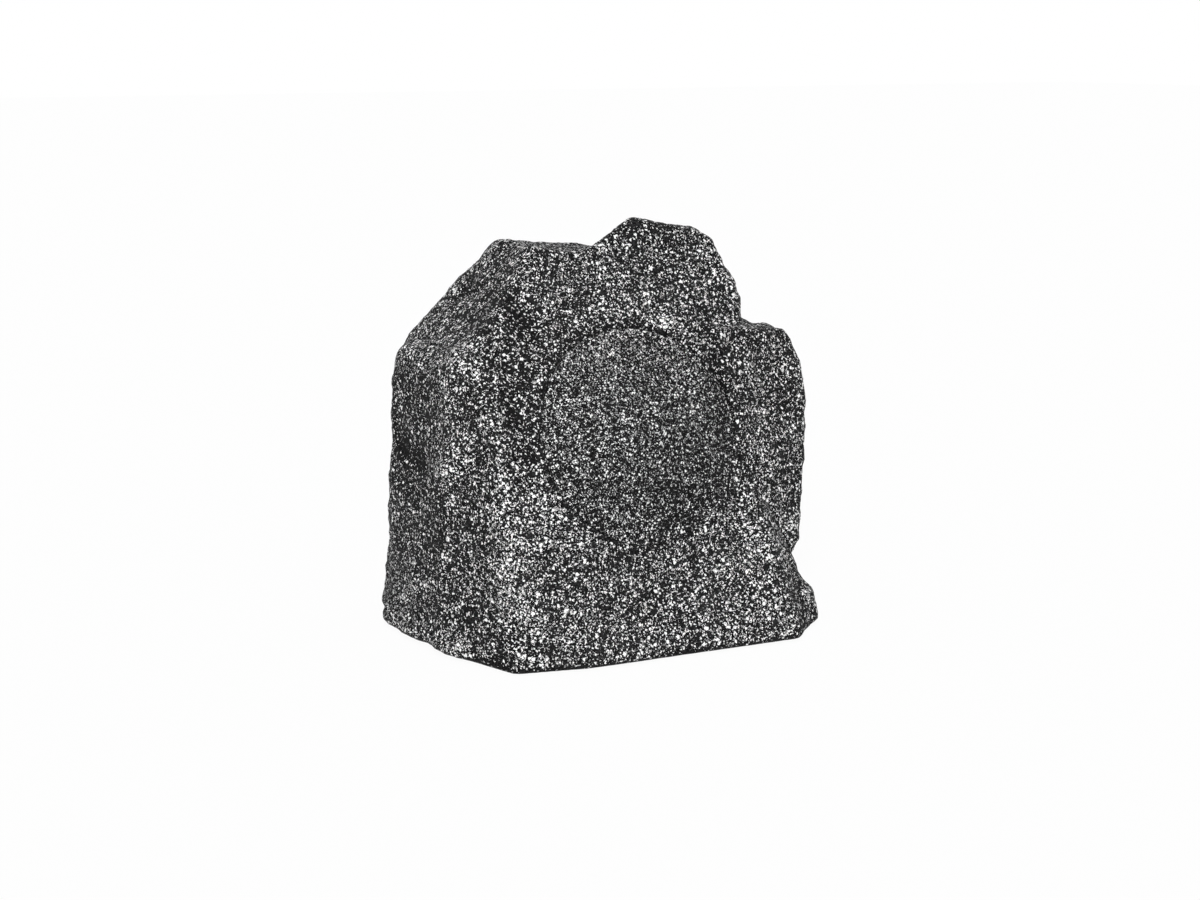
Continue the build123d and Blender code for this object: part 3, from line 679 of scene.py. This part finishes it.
# Grille cloth: thin black acoustic scrim laid behind the perforated sheet, so that the openings
# look black and dust and insects stay out.
scrim = woven("scrim", (0.008, 0.008, 0.008), threads=1500.0, relief=0.1 * mm, Specular_IOR_Level=0.1)
dress("grille_cloth", scrim)

# Grille: one steel sheet perforated with round holes in staggered rows, creased to follow the
# stone's front facets and folded back at its rim. It is pressed into the well and painted with
# the same thrown flecks as the stone.
hole_pitch = 2.0 * mm
hole_radius = 0.62 * mm
hole_corners = 8
sheet_thickness = 1.0 * mm
grille_radius = 73.4 * mm
rim_thickness = 0.8 * mm
plain_border = 0.9 * mm
rim_steps = 240
same_point = 1e-9
spare_rows = 2
front_facing = 0.5
# The flecks are painted thinner towards the lower right of the sheet as painted shade, and are a little finer
# than the stone's.
grille_fineness = 1.12
grille_paint_relief = 0.1 * mm
grille_shade_way = across * 0.6 - upward * 0.8
grille_shade_start = -160.0 * mm
grille_shade_end = 0.0
lit_upper_left_paint = 1.04
shaded_lower_right_paint = 0.5

crease_planes = {}
cloth_form = welded("grille_cloth")
for facet in cloth_form.faces:
    if facet.normal.dot(driver_axis) > front_facing:
        way = tuple(round(part, 3) for part in facet.normal)
        crease_planes.setdefault(way, (facet.normal.copy(), facet.calc_center_median()))
grille_nodes = frame["nodes"]["grille"].data.vertices
seat_height = min((vertex.co - driver_centre).dot(driver_axis) for vertex in grille_nodes)


def on_driver(point, height):
    """The place at a point across the driver's axis and a height along it."""
    return driver_centre + across * point.x + upward * point.y + driver_axis * height


def sheet_height(point):
    """Height of the sheet's back along the driver's axis: the lowest of its facets there."""
    spot = on_driver(point, 0.0)
    return min((middle - spot).dot(way) / driver_axis.dot(way) for way, middle in crease_planes.values())


def circle(middle, radius, steps):
    """Corners spaced evenly round a circle."""
    turns = [2 * pi * (step + 0.5) / steps for step in range(steps)]
    return [middle + Vector((cos(turn), sin(turn))) * radius for turn in turns]


loops = [circle(Vector((0, 0)), grille_radius, rim_steps)]
loops.append(circle(Vector((0, 0)), grille_radius - rim_thickness, rim_steps))
rows = int(grille_radius / hole_pitch) + spare_rows
for row in range(-rows, rows + 1):
    for column in range(-rows, rows + 1):
        middle = Vector(((column + 0.5 * (row % 2)) * hole_pitch, row * hole_pitch * sqrt(3) / 2))
        if middle.length < grille_radius - plain_border - hole_radius:
            loops.append(circle(middle, hole_radius, hole_corners))
points = []
owners = []
edges = []
for number, loop in enumerate(loops):
    first = len(points)
    points.extend(loop)
    owners.extend([number] * len(loop))
    around = range(first, len(points))
    edges.extend((around[step - 1], around[step]) for step in range(len(loop)))
flat_points, _, flat_faces, origins = geometry.delaunay_2d_cdt(points, edges, [], 0, same_point)[:4]
owners = [owners[origin[0]] for origin in origins]
outer_rim, inner_rim = 0, 1
count = len(flat_points)
heights = [sheet_height(point) for point in flat_points]
verts = [on_driver(point, height + sheet_thickness) for point, height in zip(flat_points, heights)]
verts += [on_driver(point, height) for point, height in zip(flat_points, heights)]
faces = []
front_edges = set()
for face in flat_faces:
    face_owners = {owners[index] for index in face}
    if len(face_owners) == 1 and max(face_owners) > inner_rim:
        continue
    faces.append(tuple(face))
    front_edges.update((face[step - 1], face[step]) for step in range(3))
    if outer_rim not in face_owners:
        faces.append(tuple(count + index for index in reversed(face)))
for start, end in front_edges:
    if (end, start) not in front_edges and owners[start] > inner_rim:
        faces.append((end, start, count + start, count + end))
foot = len(verts)
outer_ring = [index for index, owner in enumerate(owners) if owner == outer_rim]
inner_ring = [index for index, owner in enumerate(owners) if owner == inner_rim]
verts += [on_driver(flat_points[index], seat_height) for index in outer_ring + inner_ring]
for step in range(rim_steps):
    ahead = (step + 1) % rim_steps
    outer_foot, outer_foot_ahead = foot + step, foot + ahead
    inner_foot, inner_foot_ahead = outer_foot + rim_steps, outer_foot_ahead + rim_steps
    faces.append((outer_ring[ahead], outer_ring[step], outer_foot, outer_foot_ahead))
    faces.append((outer_foot_ahead, outer_foot, inner_foot, inner_foot_ahead))
    faces.append((inner_foot_ahead, inner_foot, count + inner_ring[step], count + inner_ring[ahead]))
grille_mesh = bpy.data.meshes.new("grille_sheet")
used = sorted({index for face in faces for index in face})
renumbered = {index: rank for rank, index in enumerate(used)}
grille_mesh.from_pydata(
    [verts[index] for index in used], [], [tuple(renumbered[index] for index in face) for face in faces]
)
grille_sheet = placed("grille_sheet", grille_mesh)
grille_paint, paint = new_material(
    "grille_paint", fleck_paint, grille_paint_relief, {"Fineness": grille_fineness}, Specular_IOR_Level=0.05
)
tree = grille_paint.node_tree
# Painted shade on the lower right of the sheet: its flecks thin out that way.
toward_grille_shade = along_way(tree, surface_place(tree), grille_shade_way)
lit_paint_amount = stretch(tree, toward_grille_shade, grille_shade_start, grille_shade_end, lit_upper_left_paint, shaded_lower_right_paint)
tree.links.new(lit_paint_amount, paint.inputs["Amount"])
grille_mesh.materials.append(grille_paint)
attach(grille_sheet, "rock")
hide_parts("grille")

# Damping wool: loose polyester fibre pushed into the crown before the base goes on. It is soft and
# lumpy, and keeps to the room that the crown leaves.
wool_step = 3.0 * mm
wool_lump_size = 22.0 * mm
wool_lump_depth = 5.0 * mm
wool_tuft_size = 6.0 * mm
wool_tuft_depth = 1.5 * mm
wool_round_passes = 12
wool_round_share = 0.5
curl_scale = 150.0
curl_reach = 9.0 * mm
fibre_scale = 900.0
fibre_comb = (3.0, 1.0, 0.6)
fibre_relief = 0.8 * mm
wool_mesh = bpy.data.meshes.new("damping_wool")
welded("acoustic_wadding").to_mesh(wool_mesh)
wool = placed("damping_wool", wool_mesh)
soft_skin = wool.modifiers.new("soft_skin", "REMESH")
soft_skin.mode = "VOXEL"
soft_skin.voxel_size = wool_step
round_skin = wool.modifiers.new("round_skin", "SMOOTH")
round_skin.factor = wool_round_share
round_skin.iterations = wool_round_passes
wool_mesh = shaped_mesh(wool)
wool.modifiers.clear()
wool.data = wool_mesh
sunk = []
for vertex in wool_mesh.vertices:
    lumps = wool_lump_depth * (0.5 + 0.5 * noise.noise(vertex.co / wool_lump_size))
    tufts = wool_tuft_depth * (0.5 + 0.5 * noise.noise(vertex.co / wool_tuft_size))
    sunk.append(vertex.co - vertex.normal * (lumps + tufts))
for vertex, spot in zip(wool_mesh.vertices, sunk):
    vertex.co = spot
wool_mesh.shade_smooth()
tangled_fibre, given = new_group("tangled fibre", Fibre_Color=(0.80, 0.80, 0.78, 1.0))
place = surface_place(tangled_fibre)
curl = cloud(tangled_fibre, place, curl_scale, output="Color")
curled = put(
    tangled_fibre, "VectorMath", {0: curl, 1: (curl_reach,) * 3, 2: place}, operation="MULTIPLY_ADD"
).outputs[0]
combed = put(tangled_fibre, "VectorMath", {0: curled, 1: fibre_comb}, operation="MULTIPLY").outputs[0]
fibres = cloud(tangled_fibre, combed, fibre_scale, 4.0)
# Painted shade in the tangle: the fibres' colour darkens where they lie deeper.
fibre_shade = stretch(tangled_fibre, fibres, *cloud_span, 0.55, 1.1)
give_out(
    tangled_fibre,
    scaled(tangled_fibre, given["Fibre Color"], fibre_shade),
    stretch(tangled_fibre, fibres, *cloud_span, 1.0, 0.85),
    fibres,
)
wadding_fibre = new_material(
    "wadding_fibre", tangled_fibre, fibre_relief, Specular_IOR_Level=0.15, Sheen_Weight=0.3
)[0]
wool_mesh.materials.clear()
wool_mesh.materials.append(wadding_fibre)
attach(wool, "rock")
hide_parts("acoustic_wadding")

# Crossover: a green circuit board, screwed to the base plate's bosses. It carries an air coil, a film
# capacitor, a ceramic resistor and a block of screw terminals.
board_laminate = grainy(
    "board_laminate", (0.05, 0.16, 0.07), dullness=0.32, grains=700.0, relief=0.04 * mm, Coat_Weight=0.4
)
dress("crossover_board", board_laminate)
dress("crossover_screws", screw_steel)
dress("crossover_coil", winding("copper_wire_coil", way=(0.0, 0.0, 1.0), turns=1000.0))
capacitor_film = grainy(
    "capacitor_film", (0.45, 0.10, 0.05), dullness=0.25, grains=260.0, relief=0.05 * mm, Coat_Weight=0.3
)
dress("crossover_capacitor", capacitor_film)
resistor_ceramic = grainy(
    "resistor_ceramic", (0.75, 0.73, 0.68), dullness=0.7, grains=1100.0, relief=0.08 * mm
)
dress("crossover_resistor", resistor_ceramic)
terminal_plastic = grainy(
    "terminal_plastic", (0.06, 0.20, 0.10), dullness=0.4, grains=1200.0, relief=0.04 * mm
)
dress("crossover_terminals", terminal_plastic)

# Leads: two wires in red vinyl jackets, soldered to the woofer's tags. They leave the tags to the
# rear and drop into the crossover's terminals.
wire_jacket = grainy("wire_jacket", (0.35, 0.03, 0.03), dullness=0.35, grains=900.0, relief=0.03 * mm)
dress("woofer_leads", wire_jacket)

# Cable gland: black nylon body, cap and locknut in the rear wall, with a rubber washer under its
# collar and a rubber seal that the cap squeezes onto the cable.
gland_nylon = grainy("gland_nylon", (0.025, 0.025, 0.025), dullness=0.5, grains=1100.0, relief=0.08 * mm)
for node in ("gland_body", "gland_cap", "gland_locknut"):
    dress(node, gland_nylon)
for node in ("gland_washer", "gland_seal"):
    dress(node, foam_rubber)

# Base: a black moulded plate that closes the rock from below, drawn up onto a rubber gasket by
# eight screws.
base_plastic = grainy("base_plastic", (0.03, 0.03, 0.032), dullness=0.55, grains=800.0, relief=0.12 * mm)
dress("base_plate", base_plastic)
dress("base_gasket", foam_rubber)
dress("base_screws", screw_steel)

# Studio: a pale floor that fades into a white backdrop, one soft lamp over the viewer's shoulder,
# a wide one overhead and an even fill from all round.
lamps = {
    "key_lamp": {"strength": 2.6, "softness": 24.0, "turn": -30.0, "tilt": 37.0},
    "top_lamp": {"strength": 0.6, "softness": 70.0, "turn": 0.0, "tilt": 80.0},
}
fill_light = 0.2
floor_shine = 0.93
floor_reach = 12.0
floor_drop = 0.2 * mm
lamp_distance = 2.0
aim = Vector((0.0, 0.0, 140.0)) * mm
pale_floor = (0.95, 0.95, 0.95, 1.0)
white = (1.0, 1.0, 1.0, 1.0)


def seen_from(turn, tilt, distance, target):
    """A place round the object: the turn is from the front to the right, the tilt is upwards."""
    level = cos(radians(tilt))
    way = Vector((sin(radians(turn)) * level, -cos(radians(turn)) * level, sin(radians(tilt))))
    return target + way * distance, way.to_track_quat("Z", "Y").to_euler()


def background_rays(tree):
    """Picks out the rays that show the background: the camera's own, and those off gloss or through glass."""
    rays = put(tree, "LightPath").outputs
    shown = reckon(tree, "MAXIMUM", rays["Is Camera Ray"], rays["Is Glossy Ray"])
    return reckon(tree, "MAXIMUM", shown, rays["Is Transmission Ray"])


floor_mesh = bpy.data.meshes.new("floor")
floor_corners = [(x * floor_reach, y * floor_reach, 0) for x, y in ((-1, -1), (1, -1), (1, 1), (-1, 1))]
floor_mesh.from_pydata(floor_corners, [], [(0, 1, 2, 3)])
floor_sheet = placed("floor", floor_mesh)
floor_sheet.location.z = -floor_drop
floor_paint = bpy.data.materials.new("floor_paint")
floor_paint.use_nodes = True
tree = floor_paint.node_tree
shader = tree.nodes["Principled BSDF"]
shader.inputs["Base Color"].default_value = pale_floor
shader.inputs["Roughness"].default_value = 1.0
shader.inputs["Specular IOR Level"].default_value = 0.0
glow = put(tree, "Emission", {"Color": white, "Strength": 1.0})
seen = reckon(tree, "MULTIPLY", background_rays(tree), floor_shine)
blend = put(tree, "MixShader", {0: seen, 1: shader.outputs[0], 2: glow.outputs[0]})
tree.links.new(blend.outputs[0], tree.nodes["Material Output"].inputs["Surface"])
floor_mesh.materials.append(floor_paint)

world = bpy.data.worlds.new("studio")
bpy.context.scene.world = world
world.use_nodes = True
tree = world.node_tree
fill = tree.nodes["Background"]
fill.inputs["Color"].default_value = white
fill.inputs["Strength"].default_value = fill_light
backdrop = put(tree, "Background", {"Color": white, "Strength": 1.0})
blend = put(tree, "MixShader", {0: background_rays(tree), 1: fill.outputs[0], 2: backdrop.outputs[0]})
tree.links.new(blend.outputs[0], tree.nodes["World Output"].inputs["Surface"])

for name, lamp in lamps.items():
    sun = bpy.data.lights.new(name, "SUN")
    sun.energy = lamp["strength"]
    sun.angle = radians(lamp["softness"])
    light = placed(name, sun)
    light.location, light.rotation_euler = seen_from(lamp["turn"], lamp["tilt"], lamp_distance, aim)

# Camera: it stands at the photograph's viewing angle, to the front left of the rock and a little above
# it, with a lens that gives the photograph's framing.
view_turn = -29.0
view_tilt = 13.5
view_distance = 1.1
view_target = Vector((-32.0, -70.0, 142.0)) * mm
view_lens = 51.15
film_width = 36.0
camera_data = bpy.data.cameras.new("camera")
camera_data.sensor_width = film_width
camera_data.lens = view_lens
camera = placed("camera", camera_data)
camera.location, camera.rotation_euler = seen_from(view_turn, view_tilt, view_distance, view_target)
bpy.context.scene.camera = camera
bpy.context.scene.view_settings.view_transform = "Standard"
